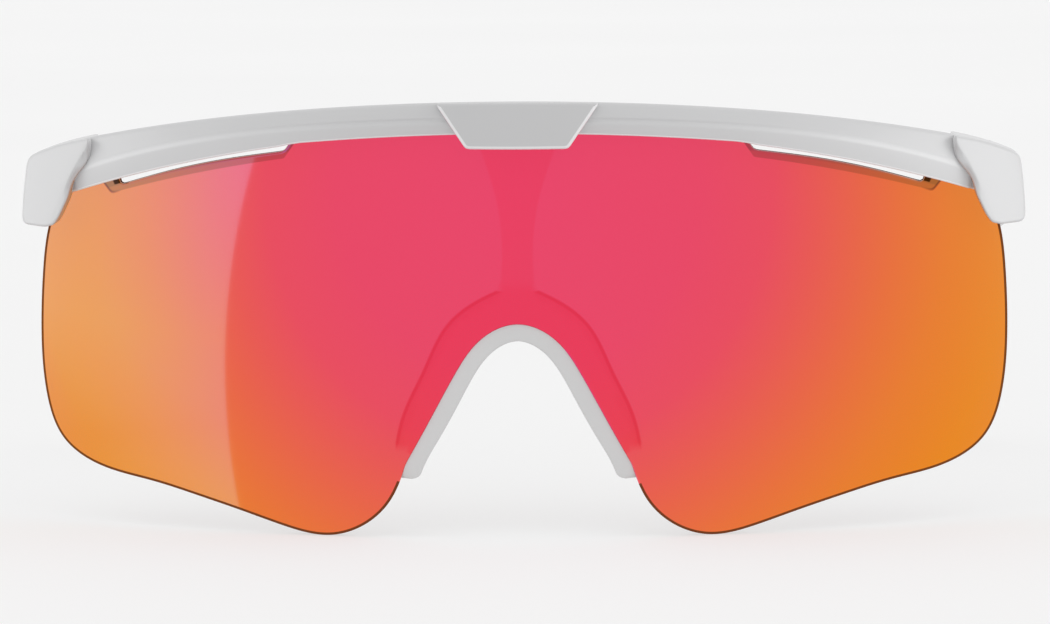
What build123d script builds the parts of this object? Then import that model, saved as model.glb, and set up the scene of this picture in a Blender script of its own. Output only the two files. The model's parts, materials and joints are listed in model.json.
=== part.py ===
from build123d import *
import os
from math import atan2, cos, radians, sin, sqrt

# Wraparound sport sunglasses, in millimetres, standing open on a table.
# +Z is up, the lens faces -Y and the wearer's left side is +X. The glasses stand on the two
# bottom lobes of the lens and on the two ear tips. The origin is under the middle of the box.

# ---- driving dimensions: shield lens ----
LENS_RADIUS = 84.0          # horizontal radius of the front face at its fullest height
LENS_RADIUS_VERTICAL = 115.0
LENS_EQUATOR = 20.0         # height at which the front face is vertical
LENS_THICKNESS = 2.0
REBATE_DEPTH = 0.4          # step in the front face under each vent
REBATE_WIDTH = 1.0
VENT_START, VENT_END = 32.35, 56.6   # distance from the middle, along X
VENT_GAP, VENT_GAP_ENDS = 0.83, 0.98   # height of the opening between brow and lens
GROOVE_DEPTH = 2.0          # how far the lens enters the brow
GROOVE_PLAY = 0.04          # between each lens face and the groove

# ---- brow moulding ----
BROW_RADIUS = 78.2          # about the radius of the lens face where the brow grips it
BROW_FRONT_TOP = 3.0        # how far each edge stands in front of the lens face
BROW_FRONT_RIDGE = 3.3
BROW_FRONT_BOTTOM = 2.5
RIDGE_GROOVE = 0.25         # depth, at the middle, of the fine groove between the two front facets
RIDGE_GROOVE_END = 0.04     # and where it has faded out
RIDGE_FADE_ANGLE = 30.0
BROW_BACK = 1.4             # wall behind the lens
BROW_END_ANGLE = 51.5       # degrees round from the middle
TENON_STEP = 1.2            # how far the brow steps in where the corner block covers it

# ---- bridge cover ----
COVER_FRONT = 4.3
COVER_HALF_TOP, COVER_HALF_BOTTOM = 11.2, 7.0
COVER_TOP, COVER_BOTTOM = 59.35, 53.2
BRIDGE_SCREW_HEIGHT = 57.4

# ---- corner block ----
CORNER_FRONT = 4.5
CORNER_SCREW_ANGLE, CORNER_SCREW_HEIGHT = 49.3, 50.8

# ---- hinge, in its own frame: Y runs back along the temple, Z along the pin ----
HINGE_X, HINGE_Y, HINGE_Z = 63.4, -41.0, 46.4
TEMPLE_SLOPE = 8.0          # degrees down towards the ear
KNUCKLE_RADIUS = 1.9
KNUCKLE_HALF_STACK = 2.9
MIDDLE_KNUCKLE_HALF = 0.95
OUTER_KNUCKLE_START = 1.25
PIN_DIAMETER = 1.4
PIN_CLEARANCE = 0.05        # on the diameter
LEAF_THICKNESS = 1.0
LEAF_HALF_HEIGHT = 5.3
LEAF_SCREW_HEIGHT = 4.15
SEAM_Y = -1.2               # rear face of the corner block
SEAM_GAP = 0.1

# ---- temple ----
ARM_INNER, ARM_OUTER = 2.1, 6.6
ARM_HEIGHT = 9.7
ARM_STRAIGHT = 72.0         # length before the ear bend
ARM_BOW = 4.5               # how far the straight part curves in towards the head
EAR_BEND_RADIUS = 35.0
EAR_BEND_ANGLE = 47.0
EAR_TIP_LENGTH = 25.37      # straight length after the bend
TENON_LENGTH = 12.0
WIRE_RADIUS = 0.8

# ---- nose pad and carrier ----
PAD_DEPTH_TOP, PAD_DEPTH_LEGS = 7.0, 10.5
PAD_WALL = 2.2
FLANGE_THICKNESS = 1.2


# ================= shared shapes =================

def lens_radius(z, proud=0.0):
    """Horizontal radius, at height z, of the surface that lies `proud` in front of the lens face."""
    return LENS_RADIUS - LENS_RADIUS_VERTICAL + sqrt(
        (LENS_RADIUS_VERTICAL + proud)**2 - (z - LENS_EQUATOR)**2)


def barrel(proud):
    """Everything inside the surface that lies `proud` in front of the lens front face."""
    low, high = -8.0, 70.0

    def edge(z):
        return (lens_radius(z, proud), z)

    side = ThreePointArc(edge(low), edge(LENS_EQUATOR), edge(high))
    rest = Polyline(edge(high), (0, high), (0, low), edge(low))
    return revolve(Plane.XZ * make_face(side + rest), Axis.Z, 360)


def front_prism(outline, y_from=-100.0, y_to=-30.0):
    """A prism along Y with a closed outline given in the front view."""
    return Pos(0, y_to, 0) * extrude(Plane.XZ * make_face(outline), amount=y_to - y_from)


def mirrored(shape):
    return mirror(shape, about=Plane.YZ)


def brow_top(x):
    return 59.6 - 0.00133 * x**2 - 6.7e-8 * x**4


def brow_ridge(x):
    return 57.3 - 0.00106 * x**2 - 2.48e-7 * x**4


def brow_bottom(x):
    near, far = 55.25 - 0.00155 * x**2, 55.69 - 0.00214 * x**2 - 7.1e-8 * x**4
    blend = min(max((abs(x) - 30.0) / 3.0, 0.0), 1.0)
    return near + (far - near) * blend


# ================= shield lens =================

def lens_outline():
    """Closed front outline: brow edge with two vent notches, sides, lobes and nose arch."""
    side = [(65.7, 45.3), (67.15, 40.8), (67.95, 34.4), (68.15, 26.0), (67.4, 17.7), (64.9, 11.5),
            (58.9, 7.9), (51.5, 6.4), (44.6, 4.7), (38.5, 2.95), (32.6, 1.1), (25.8, 0.0),
            (21.0, 1.7), (17.6, 5.0), (15.4, 10.1)]
    arch = [(15.4, 10.1), (11.9, 16.4), (8.5, 22.6), (5.1, 27.15), (0.0, 29.3)]
    inner = [(x, brow_bottom(x) + GROOVE_DEPTH) for x in (3.2, 10.0, 20.0, VENT_START - 2.1)]
    notch = [(x, brow_bottom(x) - gap) for x, gap in (
        (VENT_START, VENT_GAP_ENDS), (39.0, VENT_GAP), (49.0, VENT_GAP), (VENT_END - 0.6, VENT_GAP_ENDS))]
    outer = [(x, brow_bottom(x) + GROOVE_DEPTH - 0.2) for x in (VENT_END, 60.0, 62.6)]

    def half(s):
        def at(points):
            return [(s * x, z) for x, z in points]
        top = (Line(*at([(0, 55.4), (3.2, 55.4)])) + Line(*at([(3.2, 55.4), inner[0]]))
               + Spline(*at(inner)) + Line(*at([inner[-1], notch[0]])) + Spline(*at(notch))
               + Line(*at([notch[-1], outer[0]])) + Spline(*at(outer))
               + Line(*at([outer[-1], side[0]])))
        low = Spline(*at(side)) + Spline(*at(arch), tangents=[(-s * 0.48, 0.88), (-s, 0)])
        return top + low

    return half(1) + half(-1)


def vent_rebate(s):
    """Front outline of the shallow step under one vent."""
    xs = (VENT_START - 1.2, 40.0, 50.0, VENT_END + 1.4)
    upper = [(s * x, brow_bottom(x) + 0.3) for x in xs]
    lower = [(s * x, brow_bottom(x) - VENT_GAP - REBATE_WIDTH) for x in reversed(xs)]
    return (Spline(*upper) + Line(upper[-1], lower[0]) + Spline(*lower) + Line(lower[-1], upper[0]))


front_space = barrel(0)
back_space = barrel(-LENS_THICKNESS)
lens = front_prism(lens_outline()) & (front_space - back_space)
for s in (1, -1):
    lens -= front_prism(vent_rebate(s)) - barrel(-REBATE_DEPTH)


# ================= brow moulding =================

def brow_section(angle):
    """Section of the brow in the vertical plane `angle` degrees round from the middle."""
    a = radians(angle)
    behind = -LENS_THICKNESS - GROOVE_PLAY
    back = -LENS_THICKNESS - BROW_BACK
    fade = max(1.0 - (angle / RIDGE_FADE_ANGLE)**2, 0.0)
    groove = RIDGE_GROOVE_END + (RIDGE_GROOVE - RIDGE_GROOVE_END) * fade

    def edge(height, proud, lift=0.0):
        r = BROW_RADIUS + proud
        for _ in range(4):                  # the height and the radius depend on each other
            z = height(r * sin(a)) + lift
            r = lens_radius(z, proud)
        return (r * sin(a), -r * cos(a), z)

    roof = edge(brow_bottom, behind, GROOVE_DEPTH + 0.15)[2]
    roof_front, roof_back = lens_radius(roof, GROOVE_PLAY), lens_radius(roof, behind)
    return Face(Wire.make_polygon([
        edge(brow_top, BROW_FRONT_TOP), edge(brow_ridge, BROW_FRONT_RIDGE, 0.1),
        edge(brow_ridge, BROW_FRONT_RIDGE - groove, -0.05), edge(brow_ridge, BROW_FRONT_RIDGE, -0.6),
        edge(brow_bottom, BROW_FRONT_BOTTOM), edge(brow_bottom, GROOVE_PLAY),
        (roof_front * sin(a), -roof_front * cos(a), roof), (roof_back * sin(a), -roof_back * cos(a), roof),
        edge(brow_bottom, behind), edge(brow_bottom, back, 0.3), edge(brow_top, back, -0.4),
    ], close=True))


stations = 20
brow = loft([brow_section(-BROW_END_ANGLE + 2 * BROW_END_ANGLE * i / stations)
             for i in range(stations + 1)])


# ================= corner blocks =================

CREASE = [(65.6, 41.5), (64.85, 42.6), (64.2, 43.9), (63.45, 45.6), (63.0, 47.2), (61.9, 48.95),
          (60.75, 50.4), (60.3, 51.8), (60.3, 53.75)]


def corner_outline():
    upper = [(60.3, 53.75), (64.9, 52.65), (69.0, 51.15)]
    shoulder = [(69.0, 51.15), (69.8, 50.5), (70.15, 49.6)]
    outer = [(70.15, 49.6), (70.6, 45.1), (70.7, 42.2)]
    lower = [(70.7, 42.2), (70.4, 41.5), (69.9, 41.3), (67.0, 41.1), (65.6, 41.5)]
    return Spline(*upper) + Spline(*shoulder) + Spline(*outer) + Polyline(*lower) + Spline(*CREASE)


def tenon_outline():
    """The corner outline, stepped in at the top and the outside, for the end of the brow."""
    step = TENON_STEP
    return Polyline((58.0, 54.75 - step), (60.4, 53.7 - step), (65.0, 52.6 - step), (68.4, 50.9 - step),
                    (68.6, 46.3), (65.2, 42.9), (58.0, 42.9), (58.0, 54.75 - step))


HINGE = Pos(HINGE_X, HINGE_Y, HINGE_Z) * Rot(-TEMPLE_SLOPE, 0, 0)

corner_space = front_prism(corner_outline())
beyond_crease = front_prism(
    Spline(*CREASE) + Polyline(CREASE[-1], (60.0, 57.0), (76.0, 57.0), (76.0, 38.0), (67.0, 38.0), CREASE[0]))
tenon_space = front_prism(tenon_outline()) & barrel(BROW_FRONT_BOTTOM - 0.3)
covered = beyond_crease - tenon_space
brow = brow - covered - mirrored(covered)

seam_side = HINGE * Pos(0, SEAM_Y + 40, 0) * Box(80, 80, 80)
corner = (corner_space & barrel(CORNER_FRONT)) - seam_side
corner = corner - brow - lens
leaf_pocket = HINGE * Pos(-10 + ARM_INNER, -KNUCKLE_RADIUS - 0.15 - LEAF_THICKNESS + 10, 0) * Box(20, 20, 30)
corner -= leaf_pocket


# ================= bridge cover =================

def cover_outline(inset=0.0):
    top, low = COVER_HALF_TOP - inset, COVER_HALF_BOTTOM - inset
    right = [(top, COVER_TOP - inset), (low, COVER_BOTTOM + inset)]
    left = [(-x, z) for x, z in right]
    arc = ThreePointArc(right[1], (0, COVER_BOTTOM + inset - 0.05), left[1])
    crown = ThreePointArc(left[0], (0, COVER_TOP - inset + 0.1), right[0])
    return crown + Line(*right) + arc + Line(left[1], left[0])


cover = (front_prism(cover_outline()) & barrel(COVER_FRONT - 0.5)) + (
    front_prism(cover_outline(0.6)) & barrel(COVER_FRONT))
cover = (cover - barrel(0.3) - brow).solids().sort_by(SortBy.VOLUME)[-1]     # without slivers above the brow


# ================= nose carrier and nose pad =================

def carrier_outline():
    """Flange that follows the nose arch, with a stem up to the brow."""
    flange = [(2.3, 34.2), (5.6, 32.6), (9.7, 29.3), (13.0, 23.0), (16.0, 16.4), (16.9, 12.4)]
    stem = [(5.1, 58.4), (5.1, 53.0), (3.1, 47.0), (2.1, 39.0), (2.3, 34.2)]
    arch = [(13.9, 11.4), (11.9, 16.4), (8.5, 22.6), (5.1, 27.15), (0.0, 29.3)]
    lines = Line((-5.1, 58.4), (5.1, 58.4))
    for s in (1, -1):
        def at(points):
            return [(s * x, z) for x, z in points]
        lines += (Line(*at(stem[:2])) + Spline(*at(stem[1:])) + Spline(*at(flange))
                  + Line(*at([flange[-1], arch[0]])) + Spline(*at(arch)))
    return lines


carrier_band = back_space - barrel(-LENS_THICKNESS - FLANGE_THICKNESS)
carrier = front_prism(carrier_outline()) & carrier_band
brow -= carrier

PAD_LINE = [(16.0, 8.2), (14.75, 11.3), (13.05, 14.3), (11.3, 17.3), (9.65, 20.35), (8.0, 23.35),
            (6.0, 26.15), (3.3, 28.3), (0.0, 29.2)]


def pad_section(index):
    """Section of the soft pad at one point of the arch, from the lens face back to the skirt."""
    points = PAD_LINE + [(-x, z) for x, z in reversed(PAD_LINE[:-1])]
    x, z = points[index]
    before, after = points[max(index - 1, 0)], points[min(index + 1, len(points) - 1)]
    run = atan2(after[1] - before[1], after[0] - before[0])
    out = Vector(sin(run), 0, -cos(run)) * -1        # from the opening towards the lens
    if out.X * x < -0.001 or (abs(x) < 0.001 and out.Z < 0):
        out = out * -1
    face_y = -sqrt(lens_radius(z)**2 - x**2) + 0.35
    legs = min(abs(x) / 14.0, 1.0)
    flare = 1.0 + 3.2 * legs
    wall = PAD_WALL + 0.1 * legs
    depth = PAD_DEPTH_TOP + (PAD_DEPTH_LEGS - PAD_DEPTH_TOP) * legs
    middle = Vector(x, 0, z)

    def at(sideways, back):
        return middle + out * sideways + Vector(0, face_y + back, 0)

    clear = LENS_THICKNESS + FLANGE_THICKNESS
    corners = [at(-wall, 0.5), at(-wall + 0.5, 0), at(0, 0), at(0, clear), at(0.9, clear + 0.3),
               at(flare, depth), at(flare - wall + 0.2, depth + 0.5),
               at(-wall, clear + 0.2)]
    return Face(Wire.make_polygon(corners, close=True))


pad_count = 2 * len(PAD_LINE) - 1
pad = loft([pad_section(i) for i in range(pad_count)]) - lens - carrier


# ================= screws through the front =================

def screw(head_radius, head_height, shank_radius, length):
    """Slotted screw along +Z: the head lies below z = 0 and the shank above it."""
    body = Pos(0, 0, -head_height / 2) * Cylinder(head_radius, head_height)
    body += Pos(0, 0, length / 2) * Cylinder(shank_radius, length)
    return body - Pos(0, 0, -head_height) * Box(3 * head_radius, 0.35, 0.6)


def recess(head_radius, shank_radius, length):
    """Hole for such a screw: the shank fits and the head sits in a counterbore."""
    return Pos(0, 0, -4) * Cylinder(head_radius, 8) + Pos(0, 0, length / 2) * Cylinder(shank_radius, length)


def outward(radius, angle, height):
    """A place at this radius, `angle` degrees round from the middle, with +Z pointing outwards."""
    a = radians(angle)
    return Plane(origin=(radius * sin(a), -radius * cos(a), height), z_dir=(sin(a), -cos(a), 0)).location


def sunk_head(angle, height):
    """Where a screw starts that is driven from behind the brow, its head just below the surface."""
    return outward(lens_radius(height, -LENS_THICKNESS - BROW_BACK) + 0.9, angle, height)


bridge_at = sunk_head(0, BRIDGE_SCREW_HEIGHT)
bridge_screw = bridge_at * screw(1.2, 0.7, 0.65, 5.4)
bridge_hole = bridge_at * recess(1.2, 0.65, 5.4)
carrier -= bridge_hole
brow -= bridge_hole
cover -= bridge_hole

corner_at = sunk_head(CORNER_SCREW_ANGLE, CORNER_SCREW_HEIGHT)
corner_screw = corner_at * screw(1.2, 0.7, 0.65, 5.8)
corner_hole = corner_at * recess(1.2, 0.65, 5.8)
brow = brow - corner_hole - mirrored(corner_hole)
corner -= corner_hole


# ================= hinge =================

def block(x0, x1, y0, y1, z0, z1):
    return Pos((x0 + x1) / 2, (y0 + y1) / 2, (z0 + z1) / 2) * Box(x1 - x0, y1 - y0, z1 - z0)


def upright(radius, z0, z1):
    return Pos(0, 0, (z0 + z1) / 2) * Cylinder(radius, z1 - z0)


leaf_back = -KNUCKLE_RADIUS - 0.15               # rear face of the front leaf
leaf_front = leaf_back - LEAF_THICKNESS
front_leaf = block(-2.5, ARM_INNER, leaf_front, leaf_back, -LEAF_HALF_HEIGHT, LEAF_HALF_HEIGHT)
front_leaf = fillet(front_leaf.edges().filter_by(Axis.Y), 0.6)
for low in (OUTER_KNUCKLE_START, -KNUCKLE_HALF_STACK):
    high = low + KNUCKLE_HALF_STACK - OUTER_KNUCKLE_START
    front_leaf += upright(KNUCKLE_RADIUS, low, high)
    front_leaf += block(-KNUCKLE_RADIUS + 0.3, KNUCKLE_RADIUS - 0.3, leaf_back, 0, low, high)
front_leaf -= upright(PIN_DIAMETER / 2, -6, 6)

leaf_screws = None
for z in (LEAF_SCREW_HEIGHT, -LEAF_SCREW_HEIGHT):
    at = Pos(-0.2, leaf_back - 0.25, z) * Rot(90, 0, 0)
    one = at * screw(0.95, 0.45, 0.55, 3.4)
    hole = at * recess(0.95, 0.55, 3.4)
    leaf_screws = one if leaf_screws is None else leaf_screws + one
    front_leaf -= at * (Pos(0, 0, -1) * Cylinder(0.95, 2.0) + Pos(0, 0, 1.7) * Cylinder(0.55, 3.4))
    corner -= HINGE * at * Pos(0, 0, 1.7) * Cylinder(0.55, 3.4)

pin_radius = PIN_DIAMETER / 2
middle_bore = pin_radius + PIN_CLEARANCE / 2
temple_leaf = upright(KNUCKLE_RADIUS, -MIDDLE_KNUCKLE_HALF, MIDDLE_KNUCKLE_HALF)
temple_leaf += block(0, ARM_INNER, 0, 2.6, -MIDDLE_KNUCKLE_HALF, MIDDLE_KNUCKLE_HALF)
arm_plate = block(ARM_INNER - LEAF_THICKNESS, ARM_INNER, 2.3, 14.5, -2.7, 2.7)
temple_leaf += fillet(arm_plate.edges().filter_by(Axis.X), 0.8)
temple_leaf -= upright(middle_bore, -6, 6)

hinge_pin = upright(pin_radius, -KNUCKLE_HALF_STACK, KNUCKLE_HALF_STACK)
hinge_pin += upright(1.5, KNUCKLE_HALF_STACK, KNUCKLE_HALF_STACK + 0.7)
hinge_pin -= block(-2, 2, -0.2, 0.2, KNUCKLE_HALF_STACK + 0.35, KNUCKLE_HALF_STACK + 1)

washers = None
for low in (MIDDLE_KNUCKLE_HALF + 0.05, -OUTER_KNUCKLE_START):
    high = low + OUTER_KNUCKLE_START - MIDDLE_KNUCKLE_HALF - 0.05
    ring = upright(KNUCKLE_RADIUS - 0.1, low, high) - upright(pin_radius, low, high)
    washers = ring if washers is None else washers + ring


# ================= temples, in the hinge frame =================

def arm_line(s):
    """Point and direction of the temple's centre line, s along it behind the hinge pin."""
    x_front = (ARM_INNER + ARM_OUTER) / 2
    if s <= ARM_STRAIGHT:
        x = x_front - ARM_BOW * (max(s, 0) / ARM_STRAIGHT)**2
        slope = -2 * ARM_BOW * max(s, 0) / ARM_STRAIGHT**2
    else:
        slope = -2 * ARM_BOW / ARM_STRAIGHT
        x = x_front - ARM_BOW + slope * (s - ARM_STRAIGHT)
    bend_length = EAR_BEND_RADIUS * radians(EAR_BEND_ANGLE)
    past = min(max(s - ARM_STRAIGHT, 0.0), bend_length)
    angle = past / EAR_BEND_RADIUS
    y = min(s, ARM_STRAIGHT) + EAR_BEND_RADIUS * sin(angle)
    z = -EAR_BEND_RADIUS * (1 - cos(angle))
    rest = max(s - ARM_STRAIGHT - bend_length, 0.0)
    y, z = y + rest * cos(angle), z - rest * sin(angle)
    return Vector(x, y, z), Vector(slope, cos(angle), -sin(angle))


def arm_section(s, width, height, corner_radius):
    point, direction = arm_line(s)
    across = Plane(origin=point, x_dir=(1, -direction.X / direction.Y, 0), z_dir=direction)
    return across * RectangleRounded(width, height, corner_radius)


def wire_section(s):
    point, direction = arm_line(s)
    return Plane(origin=point, z_dir=direction) * Circle(WIRE_RADIUS)


arm_end = ARM_STRAIGHT + TENON_LENGTH
tip_end = ARM_STRAIGHT + EAR_BEND_RADIUS * radians(EAR_BEND_ANGLE) + EAR_TIP_LENGTH

arm = loft([arm_section(s, w, h, r) for s, w, h, r in [
    (SEAM_Y + SEAM_GAP, 4.5, ARM_HEIGHT, 2.2), (8, 4.5, 9.6, 2.0), (20, 4.4, 9.4, 1.7),
    (36, 4.1, 8.9, 1.5), (54, 3.8, 8.3, 1.4), (ARM_STRAIGHT, 3.8, 7.8, 1.4)]])
arm += loft([arm_section(s, 2.8, 5.0, 0.6) for s in (ARM_STRAIGHT - 4, ARM_STRAIGHT + 4, arm_end)])
wire = loft([wire_section(s) for s in range(48, int(tip_end - 6), 4)])
sock = loft([arm_section(s, w, h, r) for s, w, h, r in [
    (ARM_STRAIGHT, 4.8, 8.8, 1.8), (78, 5.2, 9.2, 2.0), (86, 5.4, 9.4, 2.2), (94, 5.5, 9.4, 2.2),
    (102, 5.5, 9.2, 2.2), (110, 5.4, 8.8, 2.2), (tip_end - 5, 5.0, 8.0, 2.2),
    (tip_end - 1.6, 4.2, 6.4, 1.9), (tip_end, 2.4, 3.6, 1.1)]])
sock = sock - arm - wire
arm = arm - wire - temple_leaf

rivets = None
for y in (6.4, 11.4):
    at = Pos(ARM_INNER - LEAF_THICKNESS, y, 0) * Rot(0, 90, 0)
    shank = at * Pos(0, 0, 1.6) * Cylinder(0.7, 3.2)
    one = shank + at * Pos(0, 0, -0.25) * Cylinder(1.2, 0.5)
    rivets = one if rivets is None else rivets + one
    temple_leaf -= shank
    arm -= shank


# ================= every piece in its place =================

pieces = {
    "shield_lens": lens, "brow_frame": brow, "bridge_cover": cover,
    "nose_carrier": carrier, "nose_pad": pad, "bridge_screw": bridge_screw,
}
left = {
    "endpiece": corner, "corner_screw": corner_screw,
    "hinge_leaf": HINGE * front_leaf, "leaf_screws": HINGE * leaf_screws,
    "hinge_pin": HINGE * hinge_pin, "hinge_washers": HINGE * washers,
    "temple_leaf": HINGE * temple_leaf, "temple_rivets": HINGE * rivets,
    "temple_arm": HINGE * arm, "core_wire": HINGE * wire, "ear_sock": HINGE * sock,
}
for name, shape in left.items():
    pieces["left_" + name] = shape
    pieces["right_" + name] = mirrored(shape)

whole = Compound(children=[Compound(p.solids()) for p in pieces.values()]).bounding_box()
to_origin = Pos(0, -(whole.min.Y + whole.max.Y) / 2, -whole.min.Z)
os.makedirs("parts", exist_ok=True)
for name, shape in pieces.items():
    export_step(to_origin * shape, f"parts/{name}.step")

moved = to_origin.position
print("box", whole.size, "moved by", moved)
print("left hinge pin at", (HINGE_X, HINGE_Y + moved.Y, HINGE_Z + moved.Z))
print("lens bottom", lens.bounding_box().min.Z, "ear tip bottom", pieces["left_ear_sock"].bounding_box().min.Z)
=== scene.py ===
import json
from math import cos, pi, radians, sin, sqrt, tan

import bmesh
import bpy
import numpy as np
from mathutils import Matrix, Quaternion, Vector
from mathutils.geometry import delaunay_2d_cdt


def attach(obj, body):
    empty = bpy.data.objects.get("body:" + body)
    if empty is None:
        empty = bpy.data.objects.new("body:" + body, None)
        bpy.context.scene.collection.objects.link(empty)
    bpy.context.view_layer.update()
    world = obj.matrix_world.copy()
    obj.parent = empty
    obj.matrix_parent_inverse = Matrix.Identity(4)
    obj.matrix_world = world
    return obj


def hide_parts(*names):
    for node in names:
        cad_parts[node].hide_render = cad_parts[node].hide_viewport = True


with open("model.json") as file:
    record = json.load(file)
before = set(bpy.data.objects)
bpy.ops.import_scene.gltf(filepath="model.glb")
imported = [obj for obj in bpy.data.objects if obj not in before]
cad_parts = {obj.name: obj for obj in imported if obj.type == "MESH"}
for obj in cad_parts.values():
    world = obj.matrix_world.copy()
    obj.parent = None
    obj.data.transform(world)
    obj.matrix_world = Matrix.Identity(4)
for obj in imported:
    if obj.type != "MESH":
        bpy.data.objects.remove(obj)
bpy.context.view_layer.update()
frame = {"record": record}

# Lengths below are millimetres about the lens's own upright axis; place() turns them into metres
# in the row's frame. The hinge pin fixes the shift between the two.
PIN = next(j["pos_m"] for j in frame["record"]["behaviour"]["joints"] if j["name"] == "left_hinge")
HINGE = Vector((63.4, -41.0, 46.4))
SHIFT = Vector(PIN) - HINGE * 0.001
SLOPE = radians(8.0)


def place(p):
    return Vector(p) * 0.001 + SHIFT


# ---------------- shape helpers ----------------

# the lens lies on a barrel: its radius seen from above and from the side, and its widest height
RH, RV, EQUATOR = 84.0, 115.0, 20.0
LENS_THICK = 2.0
POINT_SPACING = 0.35

# the brow's edges: height in the middle, and how fast they fall with x squared and x to the fourth
TOP_EDGE = (59.6, 0.00133, 6.7e-8)
RIDGE = (57.3, 0.00106, 2.48e-7)
BOTTOM_EDGE = (55.69, 0.00214, 7.1e-8)
BOTTOM_EDGE_INNER = (55.25, 0.00155, 0.0)


def lens_radius(z, proud=0.0):
    return RH - RV + sqrt((RV + proud)**2 - (z - EQUATOR)**2)


def face_y(x, z, proud=0.0):
    return -sqrt(lens_radius(z, proud)**2 - x * x)


def spline(points, spacing=POINT_SPACING):
    """Evenly spaced points on the natural cubic spline through the given ones."""
    p = np.array(points, float)
    t = np.concatenate([[0], np.cumsum(np.linalg.norm(np.diff(p, axis=0), axis=1))])
    n = len(p)
    h = np.diff(t)
    a = np.eye(n)
    b = np.zeros_like(p)
    for i in range(1, n - 1):
        a[i, i - 1:i + 2] = h[i - 1], 2 * (h[i - 1] + h[i]), h[i]
        b[i] = 6 * ((p[i + 1] - p[i]) / h[i] - (p[i] - p[i - 1]) / h[i - 1])
    m = np.linalg.solve(a, b)
    count = max(2, int(round(t[-1] / spacing)) + 1)
    out = []
    for s in np.linspace(0, t[-1], count):
        i = min(max(np.searchsorted(t, s) - 1, 0), n - 2)
        u, v = t[i + 1] - s, s - t[i]
        out.append((m[i] * u**3 + m[i + 1] * v**3) / (6 * h[i])
                   + (p[i] / h[i] - m[i] * h[i] / 6) * u + (p[i + 1] / h[i] - m[i + 1] * h[i] / 6) * v)
    return np.array(out)


def line(a, b):
    n = max(2, int(round(np.hypot(*np.subtract(b, a)) / POINT_SPACING)) + 1)
    return np.linspace(a, b, n)


def loop(*parts):
    """One closed outline from parts that meet end to end."""
    return np.concatenate([np.asarray(p)[:-1] for p in parts])


def soften(outline, rounds=2):
    """Round the corners of a finely sampled outline."""
    p = outline.copy()
    for _ in range(rounds):
        p = 0.5 * p + 0.25 * (np.roll(p, 1, 0) + np.roll(p, -1, 0))
    return p


def even(outline, spacing=0.4):
    """The same closed outline, sampled evenly and anticlockwise."""
    p = np.vstack([outline, outline[:1]])
    if np.sum(p[:-1, 0] * p[1:, 1] - p[1:, 0] * p[:-1, 1]) < 0:
        p = p[::-1]
    t = np.concatenate([[0], np.cumsum(np.linalg.norm(np.diff(p, axis=0), axis=1))])
    s = np.linspace(0, t[-1], int(t[-1] / spacing) + 1)[:-1]
    return np.stack([np.interp(s, t, p[:, 0]), np.interp(s, t, p[:, 1])], 1)


def outward(outline):
    d = np.roll(outline, -1, 0) - np.roll(outline, 1, 0)
    d /= np.linalg.norm(d, axis=1)[:, None]
    return np.stack([d[:, 1], -d[:, 0]], 1)


def inside(points, outline):
    x, z = points[:, 0][:, None], points[:, 1][:, None]
    x0, z0 = outline[:, 0][None], outline[:, 1][None]
    x1, z1 = np.roll(outline, -1, 0)[:, 0][None], np.roll(outline, -1, 0)[:, 1][None]
    up = (z0 > z) != (z1 > z)
    cross = x0 + (z - z0) * (x1 - x0) / np.where(z1 == z0, 1e-9, z1 - z0)
    return (np.sum(up & (x < cross), axis=1) % 2) == 1


def away(points, outline):
    """Distance from each point to the nearest point of an outline."""
    out = np.empty(len(points))
    for i in range(0, len(points), 500):
        d = points[i:i + 500, None] - outline[None]
        out[i:i + 500] = np.sqrt((d**2).sum(2).min(1))
    return out


def make(name, verts, faces, materials, face_material=None, normals=None, sharp=None):
    mesh = bpy.data.meshes.new(name)
    mesh.from_pydata([tuple(place(v)) for v in verts], [], faces)
    for m in materials:
        mesh.materials.append(m)
    if face_material is not None:
        mesh.polygons.foreach_set("material_index", face_material)
    mesh.polygons.foreach_set("use_smooth", [True] * len(faces))
    mesh.update()
    if normals is not None:
        mesh.normals_split_custom_set_from_vertices([tuple(n) for n in normals])
    elif sharp is not None:
        mesh.set_sharp_from_angle(angle=radians(sharp))
    obj = bpy.data.objects.new(name, mesh)
    bpy.context.scene.collection.objects.link(obj)
    return obj


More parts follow.
